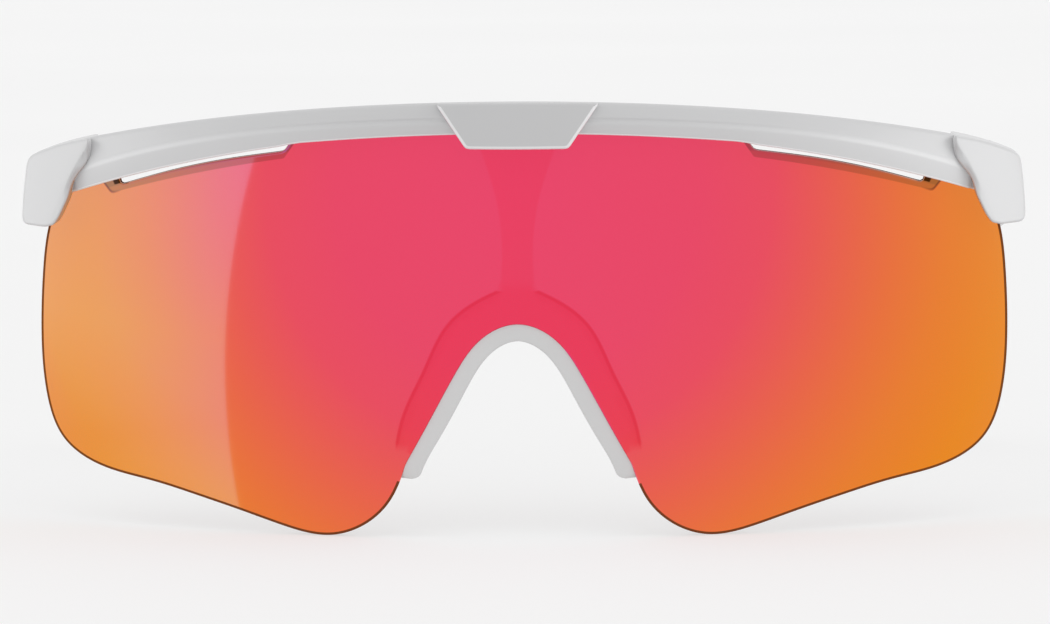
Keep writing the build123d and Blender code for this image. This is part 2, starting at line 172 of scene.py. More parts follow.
def plate(name, outline, front, back, materials, bevel=(0.35, 0.25), steps=3, spacing=1.2, lines=(),
          rim=None, flip=False):
    """A plate with this front-view outline and rounded edges, between two surfaces y(x, z).

    Materials are for the front, the edge wall, the back and, where rim(x, z) holds, the front bevel."""
    out = even(outline)
    n2 = outward(out)
    n = len(out)
    verts, normals, faces, mats = [], [], [], []

    def surface_normal(fn, x, z, sign):
        e = 0.05
        gx = (fn(x + e, z) - fn(x - e, z)) / (2 * e)
        gz = (fn(x, z + e) - fn(x, z - e)) / (2 * e)
        return Vector((gx, -1.0, gz)).normalized() * sign

    def ring(fn, r, a, sign):
        first = len(verts)
        pts = out - n2 * (r * (1 - cos(a)))
        for (x, z), (nx, nz) in zip(pts, n2):
            depth = r * (1 - sin(a)) * sign
            verts.append((x, fn(x, z) + depth, z))
            side = Vector((nx, 0, nz))
            normals.append((side * cos(a) + surface_normal(fn, x, z, sign) * sin(a)).normalized())
        return first, pts

    def join(a, b, mat, rim_mat=None):
        for i in range(n):
            j = (i + 1) % n
            faces.append((a + i, a + j, b + j, b + i))
            mats.append(rim_mat if rim_mat is not None and rim(*out[i]) else mat)

    def cap(fn, first, pts, sign, mat):
        low, high = pts.min(0), pts.max(0)
        rows = np.arange(low[1], high[1], spacing * 0.87)
        grid = np.array([(x + (i % 2) * spacing / 2, z) for i, z in enumerate(rows)
                         for x in np.arange(low[0], high[0], spacing)])
        if len(grid):
            grid = grid[inside(grid, pts)]
            grid = grid[away(grid, pts) > 0.5 * spacing]
        extra, edges = [], [(i, (i + 1) % n) for i in range(n)]
        for points in lines:
            points = np.asarray(points)
            base = n + len(extra)
            extra += [tuple(q) for q in points]
            edges += [(base + i, base + i + 1) for i in range(len(points) - 1)]
            if len(grid):
                grid = grid[away(grid, points) > 0.45]
        coords = [tuple(q) for q in pts] + extra + [tuple(q) for q in grid]
        v2, _, f2, ids, _, _ = delaunay_2d_cdt([Vector(c) for c in coords], edges, [list(range(n))], 1, 1e-5)
        remap = []
        for k, q in enumerate(v2):
            ring_ids = [i for i in ids[k] if i < n]
            if ring_ids:
                remap.append(first + ring_ids[0])
            else:
                remap.append(len(verts))
                verts.append((q[0], fn(q[0], q[1]), q[1]))
                normals.append(surface_normal(fn, q[0], q[1], sign))
        for f in f2:
            tri = [remap[i] for i in f]
            if len(set(tri)) < 3:
                continue
            a, b, c = (Vector((verts[i][0], verts[i][2])) for i in tri)
            if (b - a).cross(c - a) * sign < 0:
                tri.reverse()
            faces.append(tuple(tri))
            mats.append(mat)

    # front rings from the cap out to the wall, then the back rings
    fronts = [ring(front, bevel[0], k / steps * pi / 2, 1.0) for k in range(steps, -1, -1)]
    cap(front, fronts[0][0], fronts[0][1], 1.0, 0)
    for a, b in zip(fronts[:-1], fronts[1:]):
        join(b[0], a[0], 0, 3 if rim else None)
    backs = [ring(back, bevel[1], k / steps * pi / 2, -1.0) for k in range(0, steps + 1)]
    join(backs[0][0], fronts[-1][0], 1)
    for a, b in zip(backs[:-1], backs[1:]):
        join(b[0], a[0], 1)
    cap(back, backs[-1][0], backs[-1][1], -1.0, 2)
    if flip:
        verts = [(-x, y, z) for x, y, z in verts]
        normals = [Vector((-v.x, v.y, v.z)) for v in normals]
        faces = [tuple(reversed(f)) for f in faces]
    return make(name, verts, faces, materials, mats, normals)


def rounded(corners, radii, seg=4):
    """A polygon with each corner rounded, always with the same number of points."""
    out, n = [], len(corners)
    for i in range(n):
        a, p, b = (np.array(corners[j % n], float) for j in (i - 1, i, i + 1))
        da, db = (p - a) / np.linalg.norm(p - a), (b - p) / np.linalg.norm(b - p)
        turn = np.arccos(np.clip(da @ db, -1, 1))
        t = min(radii[i] * tan(turn / 2), 0.45 * np.linalg.norm(p - a), 0.45 * np.linalg.norm(b - p))
        s, e = p - da * t, p + db * t
        for u in np.linspace(0, 1, seg + 1):
            out.append((1 - u)**2 * s + 2 * u * (1 - u) * p + u * u * e)
    return out


def loft(name, sections, materials, sharp=40.0, rim=(), flip=False):
    """A closed skin through sections of equal point counts; rim lists the strips in the second material."""
    m = len(sections[0])
    verts = [tuple(p) for s in sections for p in s]
    faces = [(i * m + j, i * m + (j + 1) % m, (i + 1) * m + (j + 1) % m, (i + 1) * m + j)
             for i in range(len(sections) - 1) for j in range(m)]
    mats = [int(j in rim) for _ in range(len(sections) - 1) for j in range(m)]
    for base, order in ((0, -1), ((len(sections) - 1) * m, 1)):
        verts.append(tuple(np.mean([verts[base + j] for j in range(m)], axis=0)))
        faces += [((base + j, base + (j + 1) % m, len(verts) - 1)[::order]) for j in range(m)]
        mats += [0] * m
    if flip:
        verts = [(-x, y, z) for x, y, z in verts]
        faces = [f[::-1] for f in faces]
    obj = make(name, verts, faces, materials, mats, sharp=sharp)
    bm = bmesh.new()
    bm.from_mesh(obj.data)
    bmesh.ops.recalc_face_normals(bm, faces=bm.faces)
    bm.to_mesh(obj.data)
    bm.free()
    obj.data.set_sharp_from_angle(angle=radians(sharp))
    return obj


# ---------------- materials ----------------

def new_material(name):
    m = bpy.data.materials.new(name)
    m.use_nodes = True
    nt = m.node_tree
    return m, nt, nt.nodes["Principled BSDF"]


def add(nt, kind, **values):
    n = nt.nodes.new(kind)
    for k, v in values.items():
        setattr(n, k, v)
    return n


def texture(nt, scale, detail=3.0, coords=None):
    coords = coords or add(nt, "ShaderNodeTexCoord").outputs["Object"]
    t = add(nt, "ShaderNodeTexNoise")
    t.inputs["Scale"].default_value = scale
    t.inputs["Detail"].default_value = detail
    nt.links.new(coords, t.inputs["Vector"])
    return t


def ramp(nt, fac, stops):
    r = add(nt, "ShaderNodeValToRGB")
    e = r.color_ramp.elements
    e[0].position, e[0].color = stops[0][0], (*stops[0][1], 1)
    e[1].position, e[1].color = stops[-1][0], (*stops[-1][1], 1)
    for pos, colour in stops[1:-1]:
        e.new(pos).color = (*colour, 1)
    nt.links.new(fac, r.inputs["Fac"])
    return r.outputs["Color"]


def to_range(nt, value, low, high, start=0.0, end=1.0):
    r = add(nt, "ShaderNodeMapRange")
    for socket, number in (("From Min", start), ("From Max", end), ("To Min", low), ("To Max", high)):
        r.inputs[socket].default_value = number
    nt.links.new(value, r.inputs["Value"])
    return r.outputs["Result"]


def bump(nt, bsdf, height, strength, distance):
    b = add(nt, "ShaderNodeBump")
    b.inputs["Strength"].default_value = strength
    b.inputs["Distance"].default_value = distance
    nt.links.new(height, b.inputs["Height"])
    nt.links.new(b.outputs["Normal"], bsdf.inputs["Normal"])


def plastic(name, colour, spread, rough, grain=2600.0, depth=0.00002, coat=0.0):
    """Moulded plastic: slight tone variation, fine grain and uneven gloss."""
    m, nt, b = new_material(name)
    broad = texture(nt, 55.0, 2.0)
    tint = ramp(nt, broad.outputs["Fac"], [(0.3, tuple(c * (1 - spread) for c in colour)), (0.7, colour)])
    nt.links.new(tint, b.inputs["Base Color"])
    fine = texture(nt, grain, 4.0)
    nt.links.new(to_range(nt, fine.outputs["Fac"], rough - 0.06, rough + 0.08), b.inputs["Roughness"])
    bump(nt, b, fine.outputs["Fac"], 0.25, depth)
    b.inputs["Coat Weight"].default_value = coat
    b.inputs["Coat Roughness"].default_value = 0.2
    return m


def metal(name, colour, rough, brushed=True):
    """Steel with fine scratches along one direction."""
    m, nt, b = new_material(name)
    coords = add(nt, "ShaderNodeTexCoord")
    mapping = add(nt, "ShaderNodeMapping")
    mapping.inputs["Scale"].default_value = (1.0, 0.06 if brushed else 1.0, 1.0)
    nt.links.new(coords.outputs["Object"], mapping.inputs["Vector"])
    t = texture(nt, 5200.0, 5.0, coords=mapping.outputs["Vector"])
    nt.links.new(ramp(nt, t.outputs["Fac"], [(0.3, tuple(c * 0.86 for c in colour)), (0.7, colour)]),
                 b.inputs["Base Color"])
    nt.links.new(to_range(nt, t.outputs["Fac"], rough - 0.08, rough + 0.1), b.inputs["Roughness"])
    b.inputs["Metallic"].default_value = 1.0
    bump(nt, b, t.outputs["Fac"], 0.2, 0.00001)
    return m


WHITE = plastic("white_nylon", (0.535, 0.535, 0.54), 0.02, 0.42, coat=0.25)
# a paler copy of the white nylon: a painted highlight for edge bevels
HIGHLIGHT_WHITE = plastic("white_nylon_painted_highlight", (0.72, 0.72, 0.725), 0.02, 0.42, coat=0.25)
# painted shade: a slightly darker copy of the white nylon, for the front-facing bridge cover
SHADED_COVER = plastic("cover_nylon_shaded", (0.508, 0.508, 0.513), 0.02, 0.40, coat=0.25)
PAD = plastic("pad_silicone", (0.635, 0.635, 0.635), 0.03, 0.62, grain=1500.0, depth=0.00003)
SOCK = plastic("sock_rubber", (0.50, 0.50, 0.505), 0.05, 0.7, grain=1300.0, depth=0.00006)
SMOKE = plastic("smoke_nylon", (0.055, 0.05, 0.05), 0.15, 0.35)
WASHER = plastic("washer_nylon", (0.62, 0.61, 0.58), 0.05, 0.5)
STEEL = metal("hinge_steel", (0.56, 0.56, 0.58), 0.34)
SCREW = metal("screw_steel", (0.60, 0.60, 0.62), 0.26, brushed=False)


def math(nt, operation, *values):
    """One arithmetic node; each value is a number or another node's output."""
    n = add(nt, "ShaderNodeMath", operation=operation)
    for socket, value in zip(n.inputs, values):
        if isinstance(value, (int, float)):
            socket.default_value = value
        else:
            nt.links.new(value, socket)
    return n.outputs["Value"]


def front_view(nt):
    """|x| and z of the shading point, in millimetres."""
    coords = add(nt, "ShaderNodeTexCoord")
    split = add(nt, "ShaderNodeSeparateXYZ")
    nt.links.new(coords.outputs["Object"], split.inputs["Vector"])
    x = math(nt, "MULTIPLY", math(nt, "ABSOLUTE", split.outputs["X"]), 1000.0)
    z = math(nt, "MULTIPLY", math(nt, "SUBTRACT", split.outputs["Z"], SHIFT.z), 1000.0)
    return x, z


def gradient(nt, stops, far=72.0):
    """Lens colour by distance from the middle of its top edge."""
    x, z = front_view(nt)
    z = math(nt, "MULTIPLY", math(nt, "SUBTRACT", z, 48.6), 0.95)
    distance = math(nt, "SQRT", math(nt, "ADD", math(nt, "MULTIPLY", x, x), math(nt, "MULTIPLY", z, z)))
    return ramp(nt, math(nt, "DIVIDE", distance, far), [(d / far, colour) for d, colour in stops])


def above_edge(nt, x, z, shape, shift=0.0):
    """Height of the shading point over one of the brow's edge curves, moved down by shift."""
    height, square, fourth = shape
    x2 = math(nt, "MULTIPLY", x, x)
    x4 = math(nt, "MULTIPLY", x2, x2)
    fall = math(nt, "ADD", math(nt, "MULTIPLY", x2, square), math(nt, "MULTIPLY", x4, fourth))
    return math(nt, "ADD", math(nt, "SUBTRACT", z, height - shift), fall)


# the step under each vent, shown only as painted shade: its depth below the brow, and where its slanted ends
# meet the brow
STEP_DEPTH, STEP_INNER, STEP_OUTER = 1.82, 30.9, 58.6


def painted_vent_shade(nt):
    """Masks with their tints, all painted shade: the step under each vent, the lip along the slot, the step's
    outline at its outer end, and the dark stop at the end of the slot."""
    x, z = front_view(nt)
    height = above_edge(nt, x, z, BOTTOM_EDGE)
    outer = math(nt, "SUBTRACT", math(nt, "ADD", STEP_OUTER, math(nt, "MULTIPLY", height, 0.7)), x)
    inner = math(nt, "SUBTRACT", math(nt, "ADD", x, math(nt, "MULTIPLY", height, 0.78)), STEP_INNER)
    low = math(nt, "ADD", height, STEP_DEPTH)
    edge = math(nt, "SMOOTH_MIN", math(nt, "SMOOTH_MIN", low, outer, 0.8), inner, 0.3)
    step = to_range(nt, edge, 0.0, 1.0, -0.06, 0.06)
    near_edge = to_range(nt, math(nt, "ABSOLUTE", edge), 1.0, 0.0, 0.06, 0.22)
    outline = math(nt, "MULTIPLY", near_edge, to_range(nt, x, 0.0, 1.0, 55.8, 57.6))
    from_slot = math(nt, "SUBTRACT", x, math(nt, "MULTIPLY", height, 0.45))
    stop = math(nt, "MULTIPLY", to_range(nt, from_slot, 0.0, 1.0, 56.35, 56.45),
                to_range(nt, from_slot, 1.0, 0.0, 57.2, 57.35))
    stop = math(nt, "MULTIPLY", stop, to_range(nt, height, 0.0, 1.0, -0.85, -0.75))
    lip = math(nt, "MULTIPLY", step, to_range(nt, height, 0.0, 1.0, -1.1, -0.85))
    return ((step, (0.67, 0.74, 0.62)), (lip, (0.75, 0.85, 0.9)), (outline, (0.45, 0.33, 0.20)),
            (stop, (0.13, 0.12, 0.06)))


def painted_ridge_light(m):
    """Painted highlight: towards the sides the ridge between the brow's two facets is a soft pale line, and
    painted light makes the lower facet paler towards the sides.
    """
    nt = m.node_tree
    b = nt.nodes["Principled BSDF"]
    x, z = front_view(nt)
    above = above_edge(nt, x, z, RIDGE, shift=0.3)
    near = to_range(nt, math(nt, "ABSOLUTE", above), 1.0, 0.0, 0.05, 0.55)
    lit = math(nt, "MULTIPLY", near, to_range(nt, x, 0.0, 1.0, 22.0, 46.0))
    # painted light on the lower facet, growing towards the sides
    below = math(nt, "MULTIPLY", to_range(nt, above, 1.0, 0.0, -0.4, 0.0),
                 to_range(nt, x, 0.1, 0.5, 5.0, 42.0))
    tint = b.inputs["Base Color"].links[0].from_socket
    painted_gain = (1.13, 1.13, 1.13)
    tint = multiply(nt, tint, lit, painted_gain)
    nt.links.new(multiply(nt, tint, below, painted_gain), b.inputs["Base Color"])


def multiply(nt, colour, mask, tint):
    """The colour times the tint, where the mask is 1."""
    mix = add(nt, "ShaderNodeMix", data_type="RGBA", blend_type="MULTIPLY")
    mix.inputs["B"].default_value = (*tint, 1)
    nt.links.new(mask, mix.inputs["Factor"])
    nt.links.new(colour, mix.inputs["A"])
    return mix.outputs["Result"]


ROOM_GAIN = 0.97


def lens_colour(r, g, b, gloss=0.012):
    """Base colour that shows as this screen colour in the white room, without the coat's own gloss."""
    linear = (c / 12.92 if c <= 0.04045 else ((c + 0.055) / 1.055)**2.4 for c in (r / 255, g / 255, b / 255))
    return tuple(max((c - gloss) / ROOM_GAIN, 0.0) for c in linear)


MIRROR_STOPS = [
    (0.0, lens_colour(234, 72, 108)), (25.0, lens_colour(233, 74, 104)), (35.0, lens_colour(233, 79, 97)),
    (41.5, lens_colour(233, 91, 85)), (47.0, lens_colour(233, 102, 74)), (53.0, lens_colour(233, 114, 62)),
    (60.0, lens_colour(233, 127, 52, 0.015)), (70.0, lens_colour(234, 138, 38, 0.02))]


def mirror_material():
    m, nt, b = new_material("lens_mirror")
    colour = gradient(nt, MIRROR_STOPS)
    # painted shade on the lens where the carrier stands behind it, and along the flange edges
    for name, dark in (("behind", (1.0, 0.66, 0.74)), ("flange_edge", (0.93, 0.62, 0.72))):
        mask = add(nt, "ShaderNodeAttribute", attribute_name=name).outputs["Fac"]
        colour = multiply(nt, colour, mask, dark)
    # painted shade under the vents; the coat fades out over the painted dark stop
    masks = painted_vent_shade(nt)
    for mask, dark in masks:
        colour = multiply(nt, colour, mask, dark)
    nt.links.new(colour, b.inputs["Base Color"])
    nt.links.new(to_range(nt, masks[-1][0], 0.3, 0.0), b.inputs["Coat Weight"])
    b.inputs["Metallic"].default_value = 0.9
    b.inputs["Specular IOR Level"].default_value = 0.0
    haze = texture(nt, 900.0, 3.0)
    nt.links.new(to_range(nt, haze.outputs["Fac"], 0.05, 0.09), b.inputs["Roughness"])
    b.inputs["Coat Roughness"].default_value = 0.02
    return m


def tinted(name, stops, rough, coat, gloss):
    m, nt, b = new_material(name)
    nt.links.new(gradient(nt, stops), b.inputs["Base Color"])
    haze = texture(nt, 1400.0, 3.0)
    nt.links.new(to_range(nt, haze.outputs["Fac"], rough - 0.02, rough + 0.05), b.inputs["Roughness"])
    b.inputs["Coat Weight"].default_value = coat
    b.inputs["Coat Roughness"].default_value = 0.03
    b.inputs["Specular IOR Level"].default_value = gloss
    return m


MIRROR = mirror_material()
LENS_EDGE = tinted("lens_edge", [(0.0, (0.16, 0.026, 0.022)), (72.0, (0.21, 0.065, 0.016))], 0.45, 0.0, 0.0)
LENS_BACK = tinted("lens_back", [(0.0, (0.14, 0.030, 0.030)), (72.0, (0.19, 0.060, 0.022))], 0.10, 0.5, 0.5)


# ---------------- shield lens ----------------

VENT_START, VENT_END, VENT_GAP, VENT_MIDDLE, VENT_BOW = 32.35, 56.6, 0.68, 43, 0.0018
GROOVE = 2.0
NOSE_ARCH = [(11.9, 16.4), (8.5, 22.6), (5.1, 27.15), (0.0, 29.3)]


def edge_curve(x, shape):
    height, square, fourth = shape
    return height - square * x**2 - fourth * x**4


def brow_top(x):
    return edge_curve(x, TOP_EDGE)


def brow_ridge(x):
    return edge_curve(x, RIDGE)


def brow_bottom(x):
    near, far = edge_curve(x, BOTTOM_EDGE_INNER), edge_curve(x, BOTTOM_EDGE)
    return near + (far - near) * min(max((abs(x) - 30.0) / 3.0, 0.0), 1.0)


def both_sides(right, middle):
    """A closed outline from its right half, top to bottom, and the run across the bottom."""
    right = np.concatenate([p[:-1] for p in right])
    left = np.vstack([right, middle[:1]])[::-1] * (-1, 1)
    return np.concatenate([right, middle[:-1], left[:-1]])


def across(points):
    """The spline through a run of points from the right to the middle, and on to the left."""
    return spline(points + [(-x, z) for x, z in reversed(points[:-1])])


def lens_outline():
    side = [(65.7, 45.3), (67.15, 40.8), (67.95, 34.4), (68.15, 26.0), (67.4, 17.7), (64.9, 11.5),
            (58.9, 7.9), (51.5, 6.4), (44.6, 4.7), (38.5, 2.95), (32.6, 1.1), (25.8, 0.02),
            (21.0, 1.7), (17.6, 5.0), (15.4, 10.1)]
    inner = [(x, brow_bottom(x) + GROOVE - 0.1) for x in (3.2, 10.0, 20.0, VENT_START - 2.1)]
    notch = [(x, brow_bottom(x) - VENT_GAP - VENT_BOW * (x - VENT_MIDDLE)**2)
             for x in (VENT_START, 40.0, 48.0, VENT_END - 0.6)]
    outer = [(x, brow_bottom(x) + GROOVE - 0.3) for x in (VENT_END, 60.0, 62.6)]
    right = [line((0, 55.4), (3.2, 55.4)), line((3.2, 55.4), inner[0]), spline(inner),
             line(inner[-1], notch[0]), spline(notch), line(notch[-1], outer[0]), spline(outer),
             line(outer[-1], side[0]), spline(side)]
    return both_sides(right, across([side[-1]] + NOSE_ARCH))


FLANGE = [(2.3, 34.2), (5.6, 32.6), (9.7, 29.3), (13.0, 23.0), (16.0, 16.4), (16.9, 12.4)]
STEM = [(5.1, 53.0), (3.1, 47.0), (2.1, 39.0), (2.3, 34.2)]


def carrier_outline():
    arch = [(13.9, 11.4)] + NOSE_ARCH
    return both_sides([line((0, 58.3), (5.1, 58.3)), line((5.1, 58.3), STEM[0]), spline(STEM), spline(FLANGE),
                       line(FLANGE[-1], arch[0])], across(arch))


def beside(run, sideways):
    """A run of points moved sideways, to its left."""
    d = np.gradient(run, axis=0)
    d /= np.linalg.norm(d, axis=1)[:, None]
    return run + np.stack([-d[:, 1], d[:, 0]], 1) * sideways


# the carrier's shade through the mirror is painted on the lens, so its edge is drawn in the lens mesh
stem_edge = np.vstack([line((5.1, 56.4), STEM[0])[:-1], spline(STEM)])
flange_edge = spline(FLANGE)[2:-2]
seen_edges = []
for sideways in (-0.55, -0.35, -0.12, 0.12):
    seen_edges.append(beside(flange_edge, sideways))
    if abs(sideways) < 0.2:
        seen_edges.append(beside(stem_edge[:-3], sideways))
seen_edges += [run * (-1, 1) for run in seen_edges]

lens = plate("shield_lens_shell", soften(even(lens_outline(), 0.3), 2), lambda x, z: face_y(x, z),
             lambda x, z: face_y(x, z, -LENS_THICK), [MIRROR, LENS_EDGE, LENS_BACK, LENS_EDGE],
             bevel=(0.38, 0.1), lines=seen_edges,
             rim=lambda x, z: not (abs(x) < 16.3 and 7.6 < z < 31.0 or z > 46.5))
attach(lens, "front")
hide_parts("shield_lens")

mesh = lens.data
xz = (np.array([v.co for v in mesh.vertices]) - np.array(SHIFT))[:, [0, 2]] * 1000
fine = even(carrier_outline(), 0.06)
depth_inside = np.where(inside(xz, fine), 1.0, -1.0) * away(xz, fine)
below_stem = np.clip((35.2 - xz[:, 1]) / 1.5, 0, 1)
# painted shade: darker where the carrier stands behind the lens, most over the flange below the stem
behind = mesh.attributes.new("behind", "FLOAT", "POINT")
behind.data.foreach_set("value", np.clip(depth_inside / 0.24 + 0.5, 0, 1) * (0.6 + 0.4 * below_stem))
# a darker painted line along both flange edges
both_flanges = np.vstack([spline(FLANGE, 0.06), spline(FLANGE, 0.06) * (-1, 1)])
flange_shade = np.clip((0.6 - away(xz, both_flanges)) / 0.2, 0, 1) * (depth_inside > -0.1)
flange_shade_attribute = mesh.attributes.new("flange_edge", "FLOAT", "POINT")
flange_shade_attribute.data.foreach_set("value", flange_shade)


# ---------------- brow moulding ----------------

def brow_section(angle):
    """Corners of the section, each with its rounding; the ends step in under the corner blocks."""
    a = radians(angle)
    shrink = min(max(abs(angle) - 48.6, 0) / 0.8, 1)
    groove = 0.03 + 0.17 * max(1.0 - (angle / 28.0)**2, 0.0)

    def edge(height, proud, lift=0.0):
        r = 78.2 + proud
        for _ in range(4):                  # the height and the radius depend on each other
            z = height(r * sin(a)) + lift
            r = lens_radius(z, proud)
        return (r, z)

    roof = edge(brow_bottom, -2.05, GROOVE + 0.15)[1]
    corners = [
        (edge(brow_top, 3.0 - shrink, -shrink), 1.0), (edge(brow_ridge, 3.3 - shrink, 0.25), 0.3),
        (edge(brow_ridge, 3.3 - groove - shrink, -0.05), 0.25), (edge(brow_ridge, 3.3 - shrink, -0.6), 0.6),
        (edge(brow_bottom, 2.5 - shrink, -0.07), 0.25), (edge(brow_bottom, 0.05), 0.12),
        ((lens_radius(roof, 0.05), roof), 0.1), ((lens_radius(roof, -2.05), roof), 0.1),
        (edge(brow_bottom, -2.05), 0.12), (edge(brow_bottom, -3.4, 0.3), 0.45),
        (edge(brow_top, -3.4, -0.4 - shrink), 0.6)]
    ring = rounded([c for c, _ in corners], [r for _, r in corners])
    return [(r * sin(a), -r * cos(a), z) for r, z in ring]


# the brow's nylon, with a painted highlight on the ridge and painted light on the lower facet
BROW = plastic("white_nylon_brow", (0.53, 0.53, 0.535), 0.02, 0.42, coat=0.25)
painted_ridge_light(BROW)
# the brow's bottom front edge strip is a painted highlight
brow = loft("brow_shell", [brow_section(a) for a in np.linspace(-51.0, 51.0, 205)], [BROW, HIGHLIGHT_WHITE],
            rim=range(20, 24))
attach(brow, "front")
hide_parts("brow_frame")


# ---------------- bridge cover ----------------

def cover_outline():
    crown = spline([(11.2, 59.35), (0, 59.45), (-11.2, 59.35)])
    foot = spline([(-7.0, 53.2), (0, 53.15), (7.0, 53.2)])
    return loop(crown, line((-11.2, 59.35), (-7.0, 53.2)), foot, line((7.0, 53.2), (11.2, 59.35)))


# the cover's bevel along its sides and foot is a painted highlight
cover = plate("bridge_cover_shell", soften(even(cover_outline(), 0.15), 8), lambda x, z: face_y(x, z, 4.25),
              lambda x, z: face_y(x, z, 0.5), [SHADED_COVER, SHADED_COVER, SHADED_COVER, HIGHLIGHT_WHITE], bevel=(0.42, 0.1),
              spacing=0.8, rim=lambda x, z: z < 59.0)
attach(cover, "front")
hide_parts("bridge_cover")


# ---------------- corner blocks ----------------

CREASE = [(65.6, 41.5), (64.85, 42.6), (64.2, 43.9), (63.45, 45.6), (63.0, 47.2), (61.9, 48.95),
          (60.75, 50.4), (60.3, 51.8), (60.3, 53.75)]
FLANK = [(66.5, 41.5), (66.2, 42.3), (65.15, 44.5), (64.4, 46.0), (63.65, 47.7), (62.45, 50.0),
         (61.6, 51.3), (60.95, 52.3), (60.6, 53.75)]
crease_line, flank_line = spline(CREASE, 0.1), spline(FLANK, 0.3)


def corner_outline():
    upper = [(60.3, 53.75), (64.9, 52.65), (69.0, 51.15)]
    shoulder = [(69.0, 51.15), (69.8, 50.5), (70.15, 49.6)]
    outer = [(70.15, 49.6), (70.55, 45.1), (70.65, 42.2)]
    foot = [(70.65, 42.2), (70.35, 41.5), (69.9, 41.3)]
    return loop(spline(upper), spline(shoulder), spline(outer), spline(foot), line(foot[-1], (67.0, 41.15)),
                line((67.0, 41.15), CREASE[0]), spline(CREASE))


def corner_front(x, z):
    """The face, with a flank that falls away to the crease, deepest near the top."""
    outer = np.interp(z, flank_line[:, 1], flank_line[:, 0])
    inner = np.interp(z, crease_line[:, 1], crease_line[:, 0])
    t = min(max((outer - x) / max(outer - inner, 0.25), 0.0), 1.2)
    depth = np.interp(z, (41.5, 45.0, 48.0, 51.0, 53.0, 54.0), (0.1, 0.3, 0.6, 0.95, 0.45, 0.25))
    return face_y(x, z, 4.5 - depth * t * min(1.0, 0.4 + t))


def seam_y(z, back=-1.2):
    """The plane across the temple, `back` from the hinge pin along it."""
    return HINGE.y + back / cos(SLOPE) + (z - HINGE.z) * tan(SLOPE)


def corner_back(x, z):
    step = min(max((x - (HINGE.x + 2.1)) / 0.1, 0.0), 1.0)
    return seam_y(z, -3.05) + (seam_y(z) - seam_y(z, -3.05)) * step


blocks = []
for flip, side in ((False, "left"), (True, "right")):
    walls = [np.array([(x, z) for z in np.linspace(42.6, 51.4, 24)]) for x in (65.5, 65.6)]
    block = plate(side + "_corner_shell", soften(even(corner_outline(), 0.15), 5), corner_front, corner_back,
                  [WHITE, WHITE, WHITE], bevel=(0.4, 0.2), steps=4, spacing=0.45,
                  lines=walls + [flank_line[3:-3]], flip=flip)
    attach(block, "front")
    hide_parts(side + "_endpiece")
    blocks.append(block)


# ---------------- nose pad ----------------

PAD_LINE = [(16.0, 8.2), (14.75, 11.3), (13.05, 14.3), (11.3, 17.3), (9.65, 20.35), (8.0, 23.35),
            (6.0, 26.15), (3.3, 28.3), (0.0, 29.2)]
PAD_SPACING = 0.3
pad_path = spline(PAD_LINE + [(-x, z) for x, z in reversed(PAD_LINE[:-1])], PAD_SPACING)


def pad_section(i, shrink):
    x, z = pad_path[i]
    d = pad_path[min(i + 1, len(pad_path) - 1)] - pad_path[max(i - 1, 0)]
    d /= np.linalg.norm(d)
    out = np.array([d[1], -d[0]])
    if out @ (np.array([x, z]) - (0, 14)) < 0:
        out = -out
    legs = min(abs(x) / 14.0, 1.0)
    flare, wall = 1.0 + 3.2 * legs, 2.2 + 0.1 * legs
    depth = 7.0 + 3.5 * legs
    corners = [(-wall, 0.0), (0.2, 0.0), (0.2, 3.3), (0.9, 3.6), (flare, depth),
               (flare - wall + 0.2, depth + 0.5), (-wall, 3.4)]
    ring = rounded(corners, (0.35, 0.1, 0.3, 0.5, 0.5, 0.6, 3.0), 5)
    middle = 0.1                                      # the ends round off towards the lens edge
    y0 = face_y(x, z) + 0.3
    pts = []
    for s, back in ring:
        s = middle + (s - middle) * shrink
        back += 0.5 * (1 - shrink)
        pts.append((x + out[0] * s, y0 + back, z + out[1] * s))
    return pts


last = len(pad_path) - 1
round_end = 1.5
to_end = [min(PAD_SPACING * min(i, last - i) / round_end, 1.0) for i in range(last + 1)]
ends = [sqrt(max(1 - (1 - t)**2, 0.0)) for t in to_end]
pad = loft("nose_pad_soft", [pad_section(i, max(e, 0.08)) for i, e in enumerate(ends)], [PAD], sharp=60.0)
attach(pad, "front")
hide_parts("nose_pad")


# ---------------- nose carrier ----------------

carrier = plate("nose_carrier_shell", soften(even(carrier_outline(), 0.3), 2),
                lambda x, z: face_y(x, z, -LENS_THICK - 0.03), lambda x, z: face_y(x, z, -3.2),
                [SMOKE, SMOKE, SMOKE], bevel=(0.1, 0.4), spacing=0.9)
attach(carrier, "front")
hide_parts("nose_carrier")


# ---------------- temples ----------------

ARM_START, OFFSET = -1.1, 4.35                        # behind the hinge pin, and outside it
STRAIGHT, BOW, BEND_R, BEND = 72.0, 4.5, 35.0, radians(47.0)
TIP_END = STRAIGHT + BEND_R * BEND + 25.3
GRIP_START, GRIP_END, GRIP_WAVES = 84, 108, 12
TURN = Matrix.Rotation(-SLOPE, 3, "X")


def arm_line(s):
    if s <= STRAIGHT:
        x, slope = OFFSET - BOW * (max(s, 0) / STRAIGHT)**2, -2 * BOW * max(s, 0) / STRAIGHT**2
    else:
        slope = -2 * BOW / STRAIGHT
        x = OFFSET - BOW + slope * (s - STRAIGHT)
    angle = min(max(s - STRAIGHT, 0.0), BEND_R * BEND) / BEND_R
    rest = max(s - STRAIGHT - BEND_R * BEND, 0.0)
    y = min(s, STRAIGHT) + BEND_R * sin(angle) + rest * cos(angle)
    z = -BEND_R * (1 - cos(angle)) - rest * sin(angle)
    return Vector((x, y, z)), Vector((slope, cos(angle), -sin(angle))).normalized()


def arm_points(s, section):
    point, d = arm_line(s)
    sideways = Vector((d.y, -d.x, 0)).normalized()
    up = sideways.cross(d).normalized()
    return [HINGE + TURN @ (point + sideways * a + up * b) for a, b in section]


